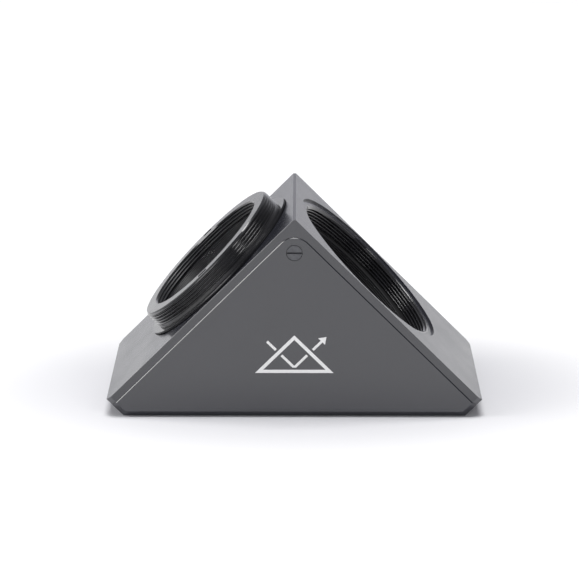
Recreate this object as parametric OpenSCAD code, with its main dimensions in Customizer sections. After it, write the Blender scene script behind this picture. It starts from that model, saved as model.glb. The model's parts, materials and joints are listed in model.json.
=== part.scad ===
// 90 degree prism star diagonal with M42 x 0.75 (T-2) ports.
// Origin: centre of the footprint, on the underside of the base. +Z up.
// +X points to the side of the open female port, -Y is the front with the emblem.

/* [Block] */
// Length of a sloping face, from the sharp ridge line to the lower corner cut
face_length = 64; // [62:0.5:70]
// Depth of the block from the front face to the rear face
block_depth = 48; // [47:0.5:56]
// Height at which the lower corner cut meets the sloping face
corner_cut = 4.05; // [3.5:0.05:5]
// Width of the small flat along the ridge
ridge_flat = 0.7; // [0.3:0.1:1]
// Chamfer where the sloping faces meet the front and rear faces
slope_break = 0.05; // [0.05:0.05:0.8]
// Bevel where the underside and corner cuts meet the front and rear faces
foot_bevel = 1.5; // [0.8:0.1:2]

/* [Cradle] */
// Thickness of the housing lip that frames each cheek, square to the slope
lip = 1.85; // [1.7:0.01:2.4]
// Distance of the lips' end faces behind the cheeks' faces
lip_recess = 0.15; // [0:0.05:0.3]
// Gap between the cheek and the lip
joint_gap = 0.05; // [0.02:0.01:0.1]
// Chamfer along the cheek's edge
cheek_chamfer = 0.2; // [0.1:0.05:0.4]
// Height of the centre of each cheek's rounded top
cheek_round_z = 40.15; // [39.5:0.05:41]
// Thickness of each cheek
cheek_t = 2.5; // [2:0.1:2.7]
// Thickness of the base
base_t = 4; // [3:0.1:5]

/* [Ports] */
// Distance of each port's centre from the sharp ridge line, along the slope
port_along = 25.9; // [25.9:0.1:27]
// Major radius of the M42 thread
thread_r = 21; // [21:0.01:21.05]
// Depth of the threaded part of each port
port_depth = 4.85; // [4.6:0.05:4.85]
// Radius of the plain bore below the thread
step_r = 18.5; // [17.6:0.1:18.5]
// Depth of the plain bore, down to the prism's aperture seat
step_depth = 7.3; // [6:0.1:7.3]
// Radius of the shallow counterbore around each port
counterbore_r = 23; // [22.9:0.05:23.2]
// Depth of the counterbore
counterbore_depth = 0.55; // [0.45:0.05:0.8]
// Radius at which the lead-in chamfer starts on the counterbore's floor
lead_in_r = 21.65; // [21.3:0.05:22]
// Radius of the aperture in front of the prism
aperture_r = 17.3; // [16:0.1:17.4]

/* [Adapter ring] */
// Radial clearance between the ring's thread and the port
thread_clearance = 0.05; // [0.02:0.01:0.1]
// Radius of the ring's flange
flange_r = 22.85; // [22.5:0.05:22.85]
// Height of the flange's top above the sloping face
flange_lift = 0.75; // [0.6:0.05:1]
// Height of the ring's rim above the sloping face
rim_lift = 5.3; // [4.5:0.1:6]
// Chamfer at both ends of the ring's thread
thread_chamfer = 0.5; // [0.3:0.1:0.6]
// Depth to which the ring screws into the port
ring_reach = 4.5; // [3.5:0.1:4.5]
// Radius of the clear bore through the ring
ring_bore_r = 17; // [16:0.1:17.5]
// Length of each spanner slot in the rim, along the rim
slot_length = 2.6; // [2:0.1:3]
// Depth of each spanner slot below the rim
slot_depth = 1.3; // [0.8:0.1:1.6]
// Thickness of the washer under the flange
washer_t = 0.25; // [0.2:0.05:0.25]

/* [Prism] */
// Length of the prism's two short faces, and its depth
prism_leg = 35; // [34:0.5:35]
// Distance of the prism's faces below the sloping faces
prism_cover = 8.4; // [8.4:0.1:8.8]
// Thickness of the aperture masks between the prism and its seats
mask_t = 0.2; // [0.1:0.05:0.2]
// Thickness of the pads between the prism and the pocket's side walls
side_pad_t = 0.5; // [0.3:0.1:0.6]
// Thickness of the strips under the prism's two long edges
edge_pad_t = 1; // [0.6:0.1:1.2]
// Thickness of the plate that presses the prism into its seats
pressure_plate_t = 2; // [1.5:0.1:2.5]

/* [Screws] */
// Height of the apex screws above the underside
apex_screw_z = 41; // [40.5:0.1:41.3]
// Radius of the apex screws' heads
head_r = 1.83; // [1.7:0.01:2]
// Radius of the apex screws' shanks
shank_r = 1.25; // [1:0.05:1.25]
// Overall length of an apex screw
apex_screw_length = 9; // [7:0.5:10]
// Radius of the set screws in the base
set_screw_r = 1.5; // [1.25:0.25:1.5]

/* [Hidden] */
$fn = 180;
bit = 0.01;           // keeps cuts clear of coincident faces
reach = 200;          // longer than anything in the object
slope_drop = sqrt(2); // height per unit measured square to a slope

half_depth = block_depth / 2;
half_width = face_length / sqrt(2);
apex_z = half_width + corner_cut;
half_foot = half_width - corner_cut;

port_x = port_along / sqrt(2);
port_z = apex_z - port_x;

cheek_inner_y = half_depth - cheek_t;
head_h = 1.3;
head_gap = 0.12;
shank_gap = 0.02;
screw_slot_w = 0.4;
screw_slot_depth = 0.6;

seat_z = apex_z - (prism_cover - mask_t) * slope_drop;
prism_top_z = apex_z - prism_cover * slope_drop;
prism_half = prism_leg / sqrt(2);
prism_base_z = prism_top_z - prism_half;
prism_edge_flat = 0.5;
pocket_half_x = prism_half + 0.45;
pocket_half_y = prism_leg / 2 + side_pad_t;

plate_gap = 0.3;
plate_half_x = pocket_half_x - plate_gap;
plate_half_y = pocket_half_y - plate_gap;
plate_top_z = prism_base_z - edge_pad_t;
plate_base_z = plate_top_z - pressure_plate_t;
edge_pad_w = 3;
edge_pad_length = prism_leg - 1;

set_screw_x = 15;
set_screw_y = 11;
set_screw_recess = 0.8;
set_screw_socket_r = 0.87;
set_screw_socket_depth = 1.6;

ring_thread_r = thread_r - thread_clearance;
slot_width = 1.5;
washer_gap = 0.02;
washer_inner_r = thread_r + 0.15;

black = [0.09, 0.09, 0.10];
anodised = [0.36, 0.36, 0.38];
cork = [0.55, 0.40, 0.25];

// ---- helpers ------------------------------------------------------------

// Turns an outline drawn in X and Z into a solid centred on Y = 0
module across(depth) {
    rotate([90, 0, 0]) linear_extrude(height = depth, center = true) children();
}

module both_ends() {
    for (flip = [0, 1]) mirror([0, flip, 0]) children();
}

module both_slopes() {
    for (flip = [0, 1]) mirror([flip, 0, 0]) children();
}

// Local frame of a port: origin on the sloping face, +Z along the outward axis.
// side is -1 for the ring's port and 1 for the open port.
module port_frame(side) {
    translate([side * port_x, 0, port_z]) rotate([0, side * 45, 0]) children();
}

// Material to remove for a chamfer along the front edge of a face.
// The face passes through (x, z) and its outward normal stands at angle from +X.
module front_edge_cut(x, z, angle, size, front_y) {
    translate([x, front_y, z]) rotate([0, 90 - angle, 0])
        translate([0, 0, -size]) rotate([45, 0, 0])
            translate([-reach / 2, -size, 0]) cube([reach, 4 * size, 3 * size]);
}

// Radius of the rounded top of an outline set in from the slopes
function round_radius(inset) = (apex_z - cheek_round_z) / slope_drop - inset;

// Outline of the cradle seen from the front: a triangle set in from the slopes,
// with a rounded top
module cradle_outline(inset) {
    top_z = apex_z - inset * slope_drop;
    shoulder = round_radius(inset) / sqrt(2);
    polygon([
        [-top_z - 1, -1], [top_z + 1, -1],
        [shoulder, cheek_round_z + shoulder], [-shoulder, cheek_round_z + shoulder]
    ]);
    translate([0, cheek_round_z]) circle(r = round_radius(inset));
}

// The cradle's plain form, a base with a cheek at each end, set in from the slopes
module cradle_form(inset, depth) {
    difference() {
        across(depth) cradle_outline(inset);
        translate([-reach / 2, -cheek_inner_y, base_t]) cube([reach, 2 * cheek_inner_y, reach]);
    }
}

// The whole assembled block with its edges broken and nothing inside
module block(depth) {
    ridge_half = ridge_flat / 2;
    difference() {
        across(depth) polygon([
            [-half_foot, 0], [half_foot, 0], [half_width, corner_cut],
            [ridge_half, apex_z - ridge_half], [-ridge_half, apex_z - ridge_half],
            [-half_width, corner_cut]
        ]);
        both_ends() {
            front_edge_cut(0, 0, -90, foot_bevel, -depth / 2);
            both_slopes() {
                front_edge_cut(0, apex_z, 45, slope_break, -depth / 2);
                front_edge_cut(half_width, corner_cut, -45, foot_bevel, -depth / 2);
            }
        }
    }
}

// ---- housing --------------------------------------------------------------

// Cut for one threaded port with its counterbore, lead-in and aperture
module port_cut() {
    lead_in = lead_in_r - thread_r;
    translate([0, 0, -counterbore_depth]) cylinder(r = counterbore_r, h = reach / 10);
    translate([0, 0, -counterbore_depth - lead_in])
        cylinder(r1 = thread_r, r2 = lead_in_r + bit, h = lead_in + bit);
    translate([0, 0, -port_depth]) cylinder(r = thread_r, h = port_depth);
    translate([0, 0, -step_depth]) cylinder(r = step_r, h = step_depth);
    translate([0, 0, -prism_cover - 1]) cylinder(r = aperture_r, h = prism_cover);
}

module prism_pocket() {
    across(2 * pocket_half_y) polygon([
        [-pocket_half_x, base_t - 1], [pocket_half_x, base_t - 1],
        [pocket_half_x, seat_z - pocket_half_x], [0, seat_z],
        [-pocket_half_x, seat_z - pocket_half_x]
    ]);
}

module housing() {
    color(anodised) difference() {
        block(block_depth - 2 * lip_recess);
        cradle_form(lip, block_depth + 1);
        prism_pocket();
        both_ends() translate([0, -half_depth, apex_screw_z]) rotate([-90, 0, 0])
            cylinder(r = shank_r + shank_gap, h = apex_screw_length + 0.5);
        for (side = [-1, 1]) port_frame(side) port_cut();
    }
}

// ---- cradle ---------------------------------------------------------------

// Material to remove for the chamfer round the front cheek's edge
module cheek_edge_cut(inset) {
    radius = round_radius(inset);
    shoulder_z = cheek_round_z + radius / sqrt(2);
    both_slopes() difference() {
        front_edge_cut(0, apex_z - inset * slope_drop, 45, cheek_chamfer, -half_depth);
        translate([-reach / 2, -reach / 2, shoulder_z]) cube([reach, reach, reach]);
    }
    intersection() {
        translate([0, -half_depth - bit, cheek_round_z]) rotate([-90, 0, 0]) difference() {
            cylinder(r = radius + 1, h = cheek_chamfer + bit);
            cylinder(r1 = radius - cheek_chamfer - bit, r2 = radius, h = cheek_chamfer + bit);
        }
        translate([-reach / 2, -reach / 2, shoulder_z]) cube([reach, reach, reach]);
    }
}

module apex_screw_seat() {
    translate([0, -half_depth - 1, apex_screw_z]) rotate([-90, 0, 0]) {
        cylinder(r = head_r + head_gap, h = head_h + 1);
        cylinder(r = shank_r + 0.1, h = cheek_t + 2);
    }
}

module base_cradle() {
    inset = lip + joint_gap;
    color(anodised) difference() {
        intersection() {
            block(block_depth);
            cradle_form(inset, block_depth + 1);
        }
        both_ends() {
            cheek_edge_cut(inset);
            apex_screw_seat();
        }
        set_screw_places() translate([0, 0, -1])
            cylinder(r = set_screw_r + shank_gap, h = base_t + 2);
    }
}

// ---- screws ---------------------------------------------------------------

module apex_screw() {
    translate([0, -half_depth, apex_screw_z]) rotate([-90, 0, 0]) difference() {
        union() {
            cylinder(r = head_r, h = head_h);
            cylinder(r = shank_r, h = apex_screw_length);
        }
        translate([-reach / 2, -screw_slot_w / 2, -1]) cube([reach, screw_slot_w, screw_slot_depth + 1]);
    }
}

module front_apex_screw() { color(black) apex_screw(); }

module rear_apex_screw() { color(black) mirror([0, 1, 0]) apex_screw(); }

module set_screw_places() {
    for (x = [-1, 1], y = [-1, 1]) translate([x * set_screw_x, y * set_screw_y, 0]) children();
}

module set_screw(x_side, y_side) {
    length = plate_base_z - set_screw_recess;
    color(black) translate([x_side * set_screw_x, y_side * set_screw_y, set_screw_recess])
        difference() {
            cylinder(r = set_screw_r, h = length);
            translate([0, 0, -bit])
                cylinder(r = set_screw_socket_r, h = set_screw_socket_depth, $fn = 6);
        }
}

// ---- adapter ring -----------------------------------------------------------

// Half-section of the ring, radius against height above the sloping face
module ring_section() {
    flange_base = washer_t + 2 * washer_gap - counterbore_depth;
    polygon([
        [ring_bore_r, thread_chamfer - ring_reach], [ring_bore_r + thread_chamfer, -ring_reach],
        [ring_thread_r - thread_chamfer, -ring_reach], [ring_thread_r, thread_chamfer - ring_reach],
        [ring_thread_r, flange_base], [flange_r, flange_base],
        [flange_r, flange_lift], [ring_thread_r, flange_lift],
        [ring_thread_r, rim_lift - thread_chamfer], [ring_thread_r - thread_chamfer, rim_lift],
        [ring_bore_r + thread_chamfer / 2, rim_lift], [ring_bore_r, rim_lift - thread_chamfer / 2]
    ]);
}

module adapter_ring() {
    slot_r = (ring_bore_r + ring_thread_r) / 2;
    color(black) port_frame(-1) difference() {
        rotate_extrude() ring_section();
        both_ends()
            translate([-slot_length / 2, slot_r - slot_width / 2, rim_lift - slot_depth])
                cube([slot_length, slot_width, slot_depth + 1]);
    }
}

module flange_washer() {
    color(black) port_frame(-1) translate([0, 0, washer_gap - counterbore_depth])
        difference() {
            cylinder(r = flange_r, h = washer_t);
            translate([0, 0, -1]) cylinder(r = washer_inner_r, h = washer_t + 2);
        }
}

// ---- prism and what holds it ------------------------------------------------

module prism() {
    flat = prism_edge_flat;
    color([0.75, 0.85, 0.9, 0.5]) across(prism_leg) polygon([
        [flat - prism_half, prism_base_z], [prism_half - flat, prism_base_z],
        [prism_half - flat, prism_base_z + flat],
        [flat, prism_top_z - flat], [-flat, prism_top_z - flat],
        [flat - prism_half, prism_base_z + flat]
    ]);
}

// Thin black mask that frames the light path on one of the prism's short faces
module aperture_mask(side) {
    mask_half = prism_leg / 2 - 0.5;
    along_port = port_along - prism_leg / 2 - prism_cover;
    color(black) port_frame(side) translate([side * -along_port, 0, -prism_cover]) difference() {
        translate([-mask_half, -mask_half, 0]) cube([2 * mask_half, 2 * mask_half, mask_t]);
        translate([side * along_port, 0, -1]) cylinder(r = aperture_r - 0.6, h = mask_t + 2);
    }
}

module left_aperture_mask() { aperture_mask(-1); }

module right_aperture_mask() { aperture_mask(1); }

// Triangular pad between the prism's ground side and the pocket wall
module side_pad() {
    margin = 2;
    color(cork) translate([0, -(prism_leg + side_pad_t) / 2, 0]) across(side_pad_t) polygon([
        [margin * 2 - prism_half, prism_base_z + margin],
        [prism_half - margin * 2, prism_base_z + margin],
        [margin / 2, prism_top_z - margin * 1.5], [-margin / 2, prism_top_z - margin * 1.5]
    ]);
}

module front_side_pad() { side_pad(); }

module rear_side_pad() { mirror([0, 1, 0]) side_pad(); }

module edge_pad(side) {
    color(cork) translate([side * (prism_half - prism_edge_flat - edge_pad_w / 2), 0, plate_top_z])
        translate([-edge_pad_w / 2, -edge_pad_length / 2, 0])
            cube([edge_pad_w, edge_pad_length, edge_pad_t]);
}

module left_edge_pad() { edge_pad(-1); }

module right_edge_pad() { edge_pad(1); }

module pressure_plate() {
    color(anodised) translate([-plate_half_x, -plate_half_y, plate_base_z])
        cube([2 * plate_half_x, 2 * plate_half_y, pressure_plate_t]);
}

// ---- nodes --------------------------------------------------------------------

housing();
base_cradle();
front_apex_screw();
rear_apex_screw();
adapter_ring();
flange_washer();
prism();
left_aperture_mask();
right_aperture_mask();
front_side_pad();
rear_side_pad();
left_edge_pad();
right_edge_pad();
pressure_plate();
set_screw(-1, -1);  // set_screw_front_left
set_screw(1, -1);  // set_screw_front_right
set_screw(-1, 1);  // set_screw_rear_left
set_screw(1, 1);  // set_screw_rear_right
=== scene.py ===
import json
import math

import bmesh
import bpy
from mathutils import Matrix, Vector


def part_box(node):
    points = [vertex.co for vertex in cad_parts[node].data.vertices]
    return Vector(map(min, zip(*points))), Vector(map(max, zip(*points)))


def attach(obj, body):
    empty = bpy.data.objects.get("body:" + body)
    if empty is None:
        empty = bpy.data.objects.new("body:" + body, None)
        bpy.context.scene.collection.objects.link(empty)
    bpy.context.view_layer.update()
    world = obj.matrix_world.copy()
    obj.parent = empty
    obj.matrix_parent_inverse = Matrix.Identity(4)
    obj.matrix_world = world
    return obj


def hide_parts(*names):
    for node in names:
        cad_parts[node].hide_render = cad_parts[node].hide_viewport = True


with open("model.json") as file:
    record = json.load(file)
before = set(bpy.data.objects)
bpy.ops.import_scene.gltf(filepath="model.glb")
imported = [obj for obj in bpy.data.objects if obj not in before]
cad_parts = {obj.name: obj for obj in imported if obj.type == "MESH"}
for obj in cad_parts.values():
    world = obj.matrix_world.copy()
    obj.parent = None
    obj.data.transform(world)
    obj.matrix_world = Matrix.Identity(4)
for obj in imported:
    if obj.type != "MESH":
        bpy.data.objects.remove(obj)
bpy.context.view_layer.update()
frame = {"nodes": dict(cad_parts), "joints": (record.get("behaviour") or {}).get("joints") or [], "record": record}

MM = 0.001
MOUNTS = {m["name"]: m for m in frame["record"]["mounts"]}
JOINTS = {j["name"]: j for j in frame["joints"]}

# ---- dimensions, millimetres unless a name says otherwise ----------------------

PITCH = 0.75               # M42 x 0.75
THREAD_DEPTH = 0.45        # crest to root
THREAD_PROFILE = (         # place along one pitch, height from root (0) to crest (1)
    (0.0, 0.0), (0.135, 0.0), (0.36, 0.9), (0.415, 1.0), (0.47, 1.0), (0.525, 0.9),
)
MALE_R = MOUNTS["ring_thread"]["dims"]["r_mm"]
PORT_R = MOUNTS["open_port"]["dims"]["r_mm"]
FEMALE_CREST_R = 20.59

RING_LIFT = 5.3            # rim above the sloping face
RING_REACH = 4.5           # lower end below the sloping face
RING_CHAMFER = 0.5
RING_BORE_R = 17.0
BORE_CHAMFER = 0.3
BORE_THREAD_DEPTH = 0.3
GROOVE_TOP = 2.8           # groove between the threaded mouth and the ribbed throat
GROOVE_BASE = 2.35
GROOVE_DEPTH = 0.6
GROOVE_EDGE = 0.05         # by which the groove's walls lean
THROAT_LAND = 0.2          # plain band between the groove and the ribs
THROAT_PITCH = 0.4
THROAT_RIDGE = 0.12
NECK_LIFT = 1.4
NECK_R = 20.8
NECK_TAPER = 0.1           # by which the neck narrows from the flange to the thread
FLANGE_R = 22.85
FLANGE_LIFT = 0.75
FLANGE_BASE = -0.26
FLANGE_TAPER = 0.2         # by which the flange's wall draws in towards its base
FLANGE_EDGE = 0.04
NECK_GAP = 0.1             # between the neck's upper end and the start of the thread
RUN_OUT = 0.4              # length over which the male threads fade in
SLOT_LENGTH = 2.6
SLOT_WIDTH = 1.5
SLOT_DEPTH = 1.3

LEAD_IN_TOP = 0.62         # depth at which the lead-in starts
LEAD_IN_END = 1.2          # depth at which the lead-in meets the thread's major radius
PORT_DEPTH = 4.85
STEP_R = 18.5
STEP_DEPTH = 7.3
STEP_RIDGE = 0.25
STEP_PITCH = 0.5
STEP_RUN_OUT = 0.2
LINING_SKIN = 0.006        # by which a port's lining stands off the wall behind it

EMBLEM_Z = 16.9            # height of the emblem's centre
EMBLEM_HALF_W = 9.4
EMBLEM_LINE = 0.8
EMBLEM_GAP = 0.55          # between the ray and the prism's outline
RAY_WIDTH = 0.62
RAY_REACH = 2.1            # how far the ray runs outside the prism, along X and along Z
RAY_HEAD = 1.15
INK_T = 0.012

COLUMNS = 288              # steps round a turned piece


# ---- camera ------------------------------------------------------------------------

CAMERA_TARGET = (-1.24, 0, 25.14)
CAMERA_DISTANCE = 620.3
CAMERA_AZIMUTH, CAMERA_ELEVATION = 0.22, 16.07     # degrees
CAMERA_LENS = 156.06


def make_camera():
    target = Vector(CAMERA_TARGET) * MM
    azimuth, elevation = math.radians(CAMERA_AZIMUTH), math.radians(CAMERA_ELEVATION)
    back = Vector((
        math.sin(azimuth) * math.cos(elevation),
        -math.cos(azimuth) * math.cos(elevation),
        math.sin(elevation),
    ))
    data = bpy.data.cameras.new("camera")
    data.sensor_width = 36
    data.lens = CAMERA_LENS
    data.clip_start, data.clip_end = 0.01, 30
    camera = bpy.data.objects.new("camera", data)
    bpy.context.scene.collection.objects.link(camera)
    camera.location = target + back * CAMERA_DISTANCE * MM
    camera.rotation_euler = (-back).to_track_quat("-Z", "Y").to_euler()
    bpy.context.scene.camera = camera


# ---- materials -----------------------------------------------------------------------

def fill_ramp(ramp, stops):
    """Sets a colour ramp's stops, each one a place and a colour."""
    elements = ramp.color_ramp.elements
    while len(elements) < len(stops):
        elements.new(0.5)
    for element, (place, colour) in zip(elements, stops):
        element.position = place
        element.color = (*colour, 1)


class Shader:
    """A Principled material and the few kinds of node that the finishes share."""

    def __init__(self, name, **sockets):
        self.material = bpy.data.materials.new(name)
        self.material.use_nodes = True
        self.tree = self.material.node_tree
        self.bsdf = self.tree.nodes["Principled BSDF"]
        self.coords = self.node("ShaderNodeTexCoord").outputs["Object"]
        for key, value in sockets.items():
            self.bsdf.inputs[key.replace("_", " ")].default_value = value

    def node(self, kind, **properties):
        made = self.tree.nodes.new(kind)
        for key, value in properties.items():
            setattr(made, key, value)
        return made

    def link(self, source, target):
        self.tree.links.new(source, target)

    def stretch(self, x, y, z, turn=0):
        """Object coordinates in millimetres, turned about Y and then scaled along each axis."""
        mapping = self.node("ShaderNodeMapping", vector_type="POINT")
        mapping.inputs["Scale"].default_value = (x / MM, y / MM, z / MM)
        source = self.coords
        if turn:
            rotate = self.node("ShaderNodeMapping", vector_type="POINT")
            rotate.inputs["Rotation"].default_value = (0, math.radians(turn), 0)
            self.link(source, rotate.inputs["Vector"])
            source = rotate.outputs["Vector"]
        self.link(source, mapping.inputs["Vector"])
        return mapping.outputs["Vector"]

    def noise(self, vector, scale=1.0, detail=3.0, roughness=0.5):
        made = self.node("ShaderNodeTexNoise")
        made.inputs["Scale"].default_value = scale
        made.inputs["Detail"].default_value = detail
        made.inputs["Roughness"].default_value = roughness
        self.link(vector, made.inputs["Vector"])
        return made.outputs["Fac"]

    def remap(self, value, low, high, from_low=0.3, from_high=0.7):
        made = self.node("ShaderNodeMapRange")
        for socket, number in zip(
            ("From Min", "From Max", "To Min", "To Max"), (from_low, from_high, low, high)
        ):
            made.inputs[socket].default_value = number
        self.link(value, made.inputs["Value"])
        return made.outputs["Result"]

    def maths(self, operation, a, b=None):
        made = self.node("ShaderNodeMath", operation=operation)
        for socket, value in zip(made.inputs, (a, b)):
            if value is None:
                continue
            if isinstance(value, (int, float)):
                socket.default_value = value
            else:
                self.link(value, socket)
        return made.outputs[0]

    def colours(self, factor, *stops):
        ramp = self.node("ShaderNodeValToRGB")
        fill_ramp(ramp, stops)
        self.link(factor, ramp.inputs["Fac"])
        self.link(ramp.outputs["Color"], self.bsdf.inputs["Base Color"])

    def roughness(self, value):
        self.link(value, self.bsdf.inputs["Roughness"])

    def bump(self, height, distance, strength=1.0):
        made = self.node("ShaderNodeBump")
        made.inputs["Strength"].default_value = strength
        made.inputs["Distance"].default_value = distance * MM
        self.link(height, made.inputs["Height"])
        self.link(made.outputs["Normal"], self.bsdf.inputs["Normal"])


def anodised_body():
    """Dark grey anodised aluminium: bead-blasted grain, faint milling passes and handling marks."""
    m = Shader("anodised_body", IOR=1.83)
    grain = m.noise(m.stretch(7, 7, 7), detail=4, roughness=0.65)
    cloud = m.noise(m.stretch(0.09, 0.09, 0.09), detail=3)
    passes = m.noise(m.stretch(0.02, 3.2, 0.02), detail=2)
    tone = m.maths("ADD", m.maths("MULTIPLY", grain, 0.5), m.maths("MULTIPLY", cloud, 0.5))
    m.colours(tone, (0.35, (0.016, 0.017, 0.023)), (0.65, (0.021, 0.022, 0.029)))
    soft = m.remap(cloud, 0.21, 0.25)
    m.roughness(m.maths("ADD", soft, m.remap(grain, -0.02, 0.02)))
    m.bump(m.maths("ADD", grain, m.maths("MULTIPLY", passes, 0.35)), 0.0015, 0.6)
    return m.material


def anodised_thread():
    """Near-black anodised aluminium, turned: fine tool lines and slightly greyer worn patches."""
    m = Shader("anodised_thread", IOR=1.6)
    grain = m.noise(m.stretch(6, 6, 6), detail=3, roughness=0.6)
    cloud = m.noise(m.stretch(0.25, 0.25, 0.25), detail=3)
    m.colours(cloud, (0.35, (0.009, 0.009, 0.010)), (0.7, (0.015, 0.015, 0.017)))
    m.roughness(m.maths("ADD", m.remap(cloud, 0.13, 0.18), m.remap(grain, -0.02, 0.02)))
    m.bump(grain, 0.0005, 0.5)
    return m.material


def satin_bore():
    """The ring's bore: the same anodising over a blasted surface, so it shines less."""
    m = Shader("satin_bore", IOR=1.5)
    grain = m.noise(m.stretch(8, 8, 8), detail=4, roughness=0.65)
    cloud = m.noise(m.stretch(0.4, 0.4, 0.4), detail=3)
    m.colours(cloud, (0.35, (0.019, 0.019, 0.021)), (0.7, (0.028, 0.028, 0.031)))
    m.roughness(m.remap(cloud, 0.36, 0.46))
    m.bump(grain, 0.003, 0.6)
    return m.material


def matt_baffle():
    """Flat black paint on the light baffles, with a fine dusty grain."""
    m = Shader("matt_baffle", IOR=1.4)
    grain = m.noise(m.stretch(9, 9, 9), detail=4, roughness=0.7)
    m.colours(grain, (0.3, (0.006, 0.006, 0.007)), (0.7, (0.013, 0.013, 0.014)))
    m.roughness(m.remap(grain, 0.55, 0.75))
    m.bump(grain, 0.004, 0.6)
    return m.material


def black_steel():
    """Blackened screw steel with fine turning rings and rubbed highlights."""
    m = Shader("black_steel", Metallic=0.6)
    grain = m.noise(m.stretch(20, 20, 20), detail=3)
    cloud = m.noise(m.stretch(1.2, 1.2, 1.2), detail=4, roughness=0.6)
    m.colours(cloud, (0.3, (0.075, 0.076, 0.082)), (0.75, (0.13, 0.132, 0.14)))
    m.roughness(m.remap(cloud, 0.34, 0.46))
    m.bump(grain, 0.003, 0.6)
    return m.material


def black_polymer():
    """Matt black sheet for the masks and the washer."""
    m = Shader("black_polymer", Specular_IOR_Level=0.3)
    fibre = m.noise(m.stretch(6, 6, 6), detail=5, roughness=0.7)
    m.colours(fibre, (0.3, (0.010, 0.010, 0.011)), (0.7, (0.022, 0.022, 0.023)))
    m.roughness(m.remap(fibre, 0.7, 0.9))
    m.bump(fibre, 0.01, 0.5)
    return m.material


def cork():
    """Pressed cork: domed granules with random darker flecks, each granule darker towards its edge as painted
    shade in the dips between granules.
    """
    m = Shader("cork", Specular_IOR_Level=0.25)
    cells = m.node("ShaderNodeTexVoronoi", feature="F1")
    cells.inputs["Scale"].default_value = 1.0
    m.link(m.stretch(1.3, 1.3, 1.3), cells.inputs["Vector"])
    fleck = m.noise(m.stretch(3, 3, 3), detail=5, roughness=0.7)
    # painted shade: the colour darkens away from each granule's centre, where the bump falls into the dips between
    # granules
    tone = m.maths("MULTIPLY", cells.outputs["Distance"], m.maths("ADD", fleck, 0.5))
    m.colours(
        tone, (0.1, (0.42, 0.27, 0.14)), (0.45, (0.30, 0.18, 0.09)), (0.8, (0.10, 0.055, 0.03)),
    )
    m.roughness(m.remap(fleck, 0.75, 0.95))
    m.bump(m.maths("SUBTRACT", 1.0, cells.outputs["Distance"]), 0.08, 0.6)
    return m.material


def prism_glass():
    """Crown glass with polished working faces and ground sides at the front and rear."""
    m = Shader("prism_glass", Transmission_Weight=1.0, IOR=1.517, Base_Color=(0.97, 0.985, 0.98, 1))
    split = m.node("ShaderNodeSeparateXYZ")
    m.link(m.coords, split.inputs[0])
    side_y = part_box("prism")[1].y
    depth = m.maths("ABSOLUTE", split.outputs["Y"])
    ground = m.maths("GREATER_THAN", depth, side_y - 0.02 * MM)
    dust = m.noise(m.stretch(0.8, 0.8, 0.8), detail=4)
    polish = m.remap(dust, 0.0, 0.015)
    m.roughness(m.maths("ADD", m.maths("MULTIPLY", ground, 0.5), polish))
    return m.material


def white_ink():
    """Screen-printed ink, slightly uneven."""
    m = Shader("white_ink", Specular_IOR_Level=0.4)
    mottle = m.noise(m.stretch(5, 5, 5), detail=4, roughness=0.6)
    m.colours(mottle, (0.3, (0.80, 0.80, 0.79)), (0.7, (0.88, 0.88, 0.87)))
    m.roughness(m.remap(mottle, 0.45, 0.6))
    m.bump(mottle, 0.004, 0.5)
    return m.material


def pale_floor():
    """Pale paper, with a painted shadow: greyer where the object stands."""
    m = Shader("pale_floor", Roughness=0.9, Specular_IOR_Level=0.1)
    flat = m.node("ShaderNodeMapping")
    flat.inputs["Scale"].default_value = (0.6 / MM, 1 / MM, 0)
    m.link(m.coords, flat.inputs["Vector"])
    length = m.node("ShaderNodeVectorMath", operation="LENGTH")
    m.link(flat.outputs["Vector"], length.inputs[0])
    # painted shadow: grey close to the object, fading to pale paper over FLOOR_SHADE
    reach = m.remap(length.outputs["Value"], 0.0, 1.0, *FLOOR_SHADE)
    m.colours(reach, (0.0, (0.68, 0.68, 0.70)), (1.0, (0.92, 0.92, 0.92)))
    m.tree.nodes["Color Ramp"].color_ramp.interpolation = "EASE"
    return m.material


MATERIALS = {
    maker.__name__: maker()
    for maker in (
        anodised_body, anodised_thread, satin_bore, matt_baffle, black_steel, black_polymer, cork,
        prism_glass,
    )
}


def finish_nodes():
    """Every CAD node takes the finish of its material slot."""
    for row in frame["record"]["subparts"]:
        node = frame["nodes"][row["node"]]
        for place in node.material_slots:
            place.material = MATERIALS[row["material_slot"]]


# ---- turned pieces -------------------------------------------------------------------

def port_matrix(centre, axis):
    """Local frame of a port: origin on the sloping face, +Z outward, +Y as the object's +Y."""
    z, y = Vector(axis).normalized(), Vector((0, 1, 0))
    x = y.cross(z)
    return Matrix.Translation(centre) @ Matrix((x, y, z)).transposed().to_4x4()


def thread_height(turn):
    """0 at the root and 1 at the crest, for a place given in pitches along the axis."""
    u = (turn % 1.0) * PITCH
    marks = [*THREAD_PROFILE, (PITCH, 0.0)]
    for (start, low), (end, high) in zip(marks, marks[1:]):
        if u <= end:
            return low + (high - low) * (u - start) / (end - start)


def thread_rows(z_from, z_to, radius_at, pitch=PITCH, phase=0.0):
    """Rows of a threaded wall from z_from to z_to. radius_at(z, height) gives the radius.
    Each row follows the helix, and is held at the wall's ends where it runs past them.
    A female thread lies half a pitch out of phase, so that the male one runs in it."""
    low, high = min(z_from, z_to), max(z_from, z_to)
    turns = range(math.floor(low / pitch) - 2, math.ceil(high / pitch) + 2)
    offsets = [
        (turn + phase + mark / PITCH) * pitch for turn in turns for mark, _ in THREAD_PROFILE
    ]
    if z_to < z_from:
        offsets.reverse()

    def row(offset):
        def at(angle):
            advance = pitch * angle / (2 * math.pi)
            z = min(max(offset + advance, low), high)
            return radius_at(z, thread_height((z - advance) / pitch - phase)), z
        return at

    return [row(offset) for offset in offsets]


def plain_row(radius, z):
    return lambda angle: (radius, z)


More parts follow.
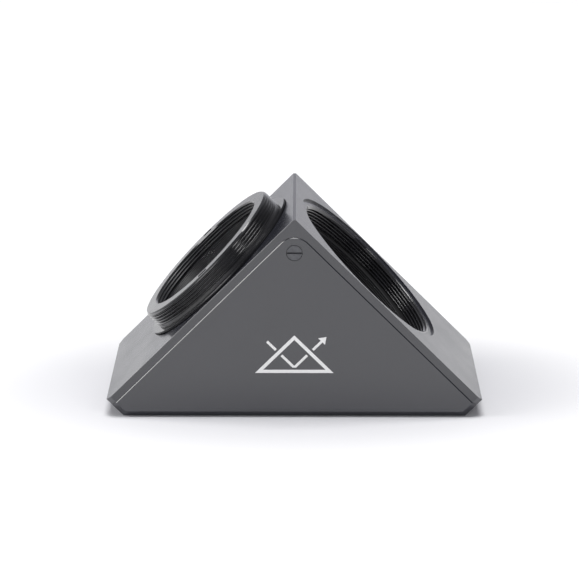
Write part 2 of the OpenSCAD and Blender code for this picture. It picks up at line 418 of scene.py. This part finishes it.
def turned_mesh(name, rows, columns=COLUMNS):
    """A closed solid of revolution whose section is the loop of rows."""
    mesh = bmesh.new()
    grid = []
    for column in range(columns + 1):
        angle = 2 * math.pi * column / columns
        points = [row(angle) for row in rows]
        grid.append([
            mesh.verts.new((r * math.cos(angle) * MM, r * math.sin(angle) * MM, z * MM))
            for r, z in points
        ])
    for left, right in zip(grid, grid[1:]):
        for i in range(len(rows)):
            j = (i + 1) % len(rows)
            mesh.faces.new((left[i], right[i], right[j], left[j]))
    bmesh.ops.remove_doubles(mesh, verts=mesh.verts, dist=1e-7)
    bmesh.ops.recalc_face_normals(mesh, faces=mesh.faces)
    return link_mesh(name, mesh)


def link_mesh(name, mesh):
    data = bpy.data.meshes.new(name)
    mesh.to_mesh(data)
    mesh.free()
    made = bpy.data.objects.new(name, data)
    bpy.context.scene.collection.objects.link(made)
    return made


def soften(piece, degrees=42):
    """Smooth shading, with edges sharper than the angle left crisp."""
    bpy.context.view_layer.objects.active = piece
    for other in bpy.context.selected_objects:
        other.select_set(False)
    piece.select_set(True)
    bpy.ops.object.shade_smooth_by_angle(angle=math.radians(degrees))
    piece.select_set(False)


def box_mesh(name, low, high):
    """A box between two corners given in millimetres."""
    mesh = bmesh.new()
    bmesh.ops.create_cube(mesh, size=1)
    low, high = (Vector(place * MM for place in corner) for corner in (low, high))
    size, middle = high - low, (high + low) / 2
    for vert in mesh.verts:
        vert.co = Vector(a * b for a, b in zip(vert.co, size)) + middle
    return link_mesh(name, mesh)


def carve(piece, *cutters):
    """Cuts the cutters out of the piece and deletes them."""
    for cutter in cutters:
        modifier = piece.modifiers.new("cut", "BOOLEAN")
        modifier.operation, modifier.solver, modifier.object = "DIFFERENCE", "EXACT", cutter
    graph = bpy.context.evaluated_depsgraph_get()
    data = bpy.data.meshes.new_from_object(piece.evaluated_get(graph))
    piece.modifiers.clear()
    piece.data = data
    for cutter in cutters:
        bpy.data.objects.remove(cutter)


def settle(piece, matrix, material, body):
    piece.data.transform(matrix)
    piece.data.materials.clear()
    piece.data.materials.append(material)
    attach(piece, body)


def fade(z, start, length):
    """0 at start, rising to 1 over length, on whichever side z lies."""
    return min(1.0, abs(z - start) / length)


def make_adapter_ring(matrix):
    """The double male ring with real M42 threads, a threaded light baffle and spanner slots."""
    mouth_top = RING_LIFT - BORE_CHAMFER
    throat_end = BORE_CHAMFER - RING_REACH
    rim_r = MALE_R - RING_CHAMFER

    def outer(z, height):
        cut = THREAD_DEPTH * (1 - height) * fade(z, NECK_LIFT, RUN_OUT)
        return min(MALE_R - cut, rim_r + RING_LIFT - z)

    def inner(z, height):
        cut = THREAD_DEPTH * (1 - height) * fade(z, FLANGE_BASE, RUN_OUT)
        return min(MALE_R - cut, rim_r + RING_REACH + z)

    def mouth(z, height):
        return RING_BORE_R + BORE_THREAD_DEPTH * (1 - height) * fade(z, mouth_top, BORE_CHAMFER)

    def throat(z, height):
        return RING_BORE_R + THROAT_RIDGE * (1 - height) * fade(z, throat_end, BORE_CHAMFER)

    rows = [
        plain_row(RING_BORE_R + BORE_CHAMFER, -RING_REACH),
        plain_row(rim_r, -RING_REACH),
        *thread_rows(-RING_REACH, FLANGE_BASE, inner),
        plain_row(FLANGE_R - FLANGE_TAPER, FLANGE_BASE),
        plain_row(FLANGE_R, FLANGE_LIFT - FLANGE_TAPER),
        plain_row(FLANGE_R, FLANGE_LIFT - FLANGE_EDGE),
        plain_row(FLANGE_R - FLANGE_EDGE, FLANGE_LIFT),
        plain_row(NECK_R, FLANGE_LIFT),
        plain_row(NECK_R - NECK_TAPER, NECK_LIFT - NECK_GAP),
        *thread_rows(NECK_LIFT, RING_LIFT, outer),
        plain_row(rim_r, RING_LIFT),
        plain_row(RING_BORE_R + BORE_CHAMFER, RING_LIFT),
        plain_row(RING_BORE_R, mouth_top),
        *thread_rows(mouth_top, GROOVE_TOP, mouth),
        plain_row(RING_BORE_R + GROOVE_DEPTH, GROOVE_TOP - GROOVE_EDGE),
        plain_row(RING_BORE_R + GROOVE_DEPTH, GROOVE_BASE + GROOVE_EDGE),
        plain_row(RING_BORE_R, GROOVE_BASE),
        plain_row(RING_BORE_R, GROOVE_BASE - THROAT_LAND),
        *thread_rows(GROOVE_BASE - THROAT_LAND, throat_end, throat, pitch=THROAT_PITCH),
    ]
    ring = turned_mesh("ring_detail", rows)
    slot_r = (RING_BORE_R + MALE_R) / 2
    cutters = [
        box_mesh(
            "slot_cutter",
            (-SLOT_LENGTH / 2, side * slot_r - SLOT_WIDTH / 2, RING_LIFT - SLOT_DEPTH),
            (SLOT_LENGTH / 2, side * slot_r + SLOT_WIDTH / 2, RING_LIFT + 1),
        )
        for side in (-1, 1)
    ]
    carve(ring, *cutters)
    soften(ring)
    settle(ring, matrix, MATERIALS["anodised_thread"], "ring")
    ring.data.materials.append(MATERIALS["satin_bore"])
    to_local = matrix.inverted()
    for face in ring.data.polygons:
        place = to_local @ face.center
        in_bore = math.hypot(place.x, place.y) < (RING_BORE_R + GROOVE_DEPTH + 0.01) * MM
        if in_bore and place.z < mouth_top * MM:
            face.material_index = 1
    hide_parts("adapter_ring")


def make_port_lining(name, matrix):
    """Female M42 thread in a port of the housing, and the ridged matt baffle below it."""
    skin = LINING_SKIN
    thread_end = skin - PORT_DEPTH

    def cone(z):
        return PORT_R + max(0.0, z + LEAD_IN_END)

    def thread(z, height):
        crest = FEMALE_CREST_R + (PORT_R - FEMALE_CREST_R) * (1 - height)
        return max(crest, cone(z) - (PORT_R - FEMALE_CREST_R)) - 2 * skin

    def step_wall(z, height):
        lead = min(fade(z, -PORT_DEPTH, STEP_RUN_OUT), fade(z, -STEP_DEPTH, STEP_RUN_OUT))
        return STEP_R - 2 * skin - STEP_RIDGE * height * lead

    thread_part = turned_mesh(name + "_thread", [
        plain_row(cone(-LEAD_IN_TOP) - skin, -LEAD_IN_TOP),
        *thread_rows(-LEAD_IN_TOP, thread_end + skin, thread, phase=0.5),
        plain_row(PORT_R - skin, thread_end + skin),
        plain_row(PORT_R - skin, -LEAD_IN_END),
    ])
    baffle = turned_mesh(name + "_baffle", [
        plain_row(PORT_R - skin, thread_end + skin),
        *thread_rows(thread_end + skin, -STEP_DEPTH, step_wall, pitch=STEP_PITCH),
        plain_row(STEP_R - skin, -STEP_DEPTH),
        plain_row(STEP_R - skin, thread_end),
        plain_row(PORT_R - skin, thread_end),
    ])
    for piece, material in ((thread_part, "anodised_thread"), (baffle, "matt_baffle")):
        soften(piece)
        settle(piece, matrix, MATERIALS[material], "block")


# ---- emblem --------------------------------------------------------------------------

def make_emblem():
    """A plain light-path sign: a prism's outline with a ray that turns through 90 degrees."""
    mesh = bmesh.new()
    front_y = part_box("base_cradle")[0].y / MM
    base_z = -EMBLEM_HALF_W * 0.6

    def face(points):
        front, back = (
            [mesh.verts.new(Vector((x, y, z + EMBLEM_Z)) * MM) for x, z in points]
            for y in (front_y - INK_T, front_y)
        )
        mesh.faces.new(front)
        mesh.faces.new(list(reversed(back)))
        for i in range(len(points)):
            j = (i + 1) % len(points)
            mesh.faces.new((front[i], back[i], back[j], front[j]))

    def triangle(half):
        """Right-angled, its long side down, shrunk about the centre of its inscribed circle."""
        shrink = EMBLEM_HALF_W - half
        lift = shrink * (math.sqrt(2) - 1)
        return [(-half, base_z + lift), (half, base_z + lift), (0, base_z + lift + half)]

    outer = triangle(EMBLEM_HALF_W)
    inner = triangle(EMBLEM_HALF_W - EMBLEM_LINE * (1 + math.sqrt(2)))
    for i in range(3):
        j = (i + 1) % 3
        face([outer[i], outer[j], inner[j], inner[i]])

    foot_z = inner[0][1] + EMBLEM_GAP
    half = RAY_WIDTH / 2 / math.sqrt(2)
    slope_in = inner[2][1] - EMBLEM_GAP * math.sqrt(2)
    slope_out = outer[2][1] + EMBLEM_GAP * math.sqrt(2)

    def along(start_sum):
        """Point of the right-hand leg's centre line where x + z is start_sum."""
        x = (start_sum - foot_z) / 2
        return x, foot_z + x

    top_x, top_z = along(slope_in)
    low_x, low_z = along(slope_out)
    for side in (-1, 1):
        face([
            (0, foot_z), (side * 2 * half, foot_z),
            (side * (top_x + half), top_z - half), (side * (top_x - half), top_z + half),
            (0, foot_z + 2 * half),
        ])
        face([
            (side * (low_x + half), low_z - half),
            (side * (low_x + RAY_REACH + half), low_z + RAY_REACH - half),
            (side * (low_x + RAY_REACH - half), low_z + RAY_REACH + half),
            (side * (low_x - half), low_z + half),
        ])
    tip_x, tip_z = low_x + RAY_REACH, low_z + RAY_REACH
    barb = RAY_HEAD / math.sqrt(2)
    face([
        (tip_x + barb, tip_z - barb),
        (tip_x + RAY_HEAD, tip_z + RAY_HEAD),
        (tip_x - barb, tip_z + barb),
    ])
    bmesh.ops.recalc_face_normals(mesh, faces=mesh.faces)
    emblem = link_mesh("front_emblem", mesh)
    settle(emblem, Matrix.Identity(4), white_ink(), "block")


# ---- surroundings --------------------------------------------------------------------

FLOOR_RADIUS = 6000
FLOOR_SHADE = (25, 64)     # distances over which the floor's painted shadow fades from grey to pale
LIGHT_TARGET = (0, 0, 20)


def make_floor():
    mesh = bmesh.new()
    bmesh.ops.create_circle(mesh, cap_ends=True, radius=FLOOR_RADIUS * MM, segments=96)
    floor = link_mesh("floor", mesh)
    floor.data.materials.append(pale_floor())


def softbox(name, azimuth, elevation, distance, size, power):
    """A light aimed at the object, in metres and watts. Azimuth 0 is over the front, 90 over +X."""
    a, e = math.radians(azimuth), math.radians(elevation)
    target = Vector(LIGHT_TARGET) * MM
    towards = Vector((math.sin(a) * math.cos(e), -math.cos(a) * math.cos(e), math.sin(e)))
    data = bpy.data.lights.new(name, "AREA")
    data.shape = "RECTANGLE"
    data.size, data.size_y = size
    data.energy = power
    light = bpy.data.objects.new(name, data)
    bpy.context.scene.collection.objects.link(light)
    light.location = target + towards * distance
    light.rotation_euler = (-towards).to_track_quat("-Z", "Y").to_euler()


BACKDROP = ((0.0, 0.95), (0.2, 0.88), (0.42, 0.28), (0.8, 0.32))     # sine of the height, grey
BACKDROP_BLUE = 1.07
SIDE_FALLOFF = 0.75


def make_lights():
    world = bpy.data.worlds.new("studio")
    bpy.context.scene.world = world
    world.use_nodes = True
    tree = world.node_tree
    coords = tree.nodes.new("ShaderNodeTexCoord")
    split = tree.nodes.new("ShaderNodeSeparateXYZ")
    ramp = tree.nodes.new("ShaderNodeValToRGB")
    tree.links.new(coords.outputs["Generated"], split.inputs[0])
    tree.links.new(split.outputs["Z"], ramp.inputs["Fac"])
    tree.links.new(ramp.outputs["Color"], tree.nodes["Background"].inputs["Color"])
    # The backdrop curves up behind and before the object and leaves the two sides darker.
    square = tree.nodes.new("ShaderNodeMath")
    square.operation = "MULTIPLY"
    falloff = tree.nodes.new("ShaderNodeMath")
    falloff.operation = "MULTIPLY_ADD"
    falloff.inputs[1].default_value, falloff.inputs[2].default_value = -SIDE_FALLOFF, 1.0
    tree.links.new(split.outputs["X"], square.inputs[0])
    tree.links.new(split.outputs["X"], square.inputs[1])
    tree.links.new(square.outputs[0], falloff.inputs[0])
    tree.links.new(falloff.outputs[0], tree.nodes["Background"].inputs["Strength"])
    fill_ramp(ramp, [(place, (grey, grey, grey * BACKDROP_BLUE)) for place, grey in BACKDROP])
    softbox("overhead", 0, 89, 4.0, (1.9, 1.9), 125)
    softbox("left", -80, 34, 1.2, (0.5, 0.5), 5)
    softbox("front_right", 44, 30, 1.2, (0.2, 0.4), 1.7)
    bpy.context.scene.view_settings.view_transform = "Standard"


# ---- assembly ------------------------------------------------------------------------

make_camera()
finish_nodes()
ring_matrix = port_matrix(JOINTS["ring_turn"]["pos_m"], JOINTS["ring_turn"]["axis"])
open_centre = Vector(JOINTS["ring_turn"]["pos_m"]) * Vector((-1, 1, 1))
open_matrix = port_matrix(open_centre, MOUNTS["open_port"]["axis"])
make_adapter_ring(ring_matrix)
make_port_lining("ring_port", ring_matrix)
make_port_lining("open_port", open_matrix)
make_emblem()
make_floor()
make_lights()
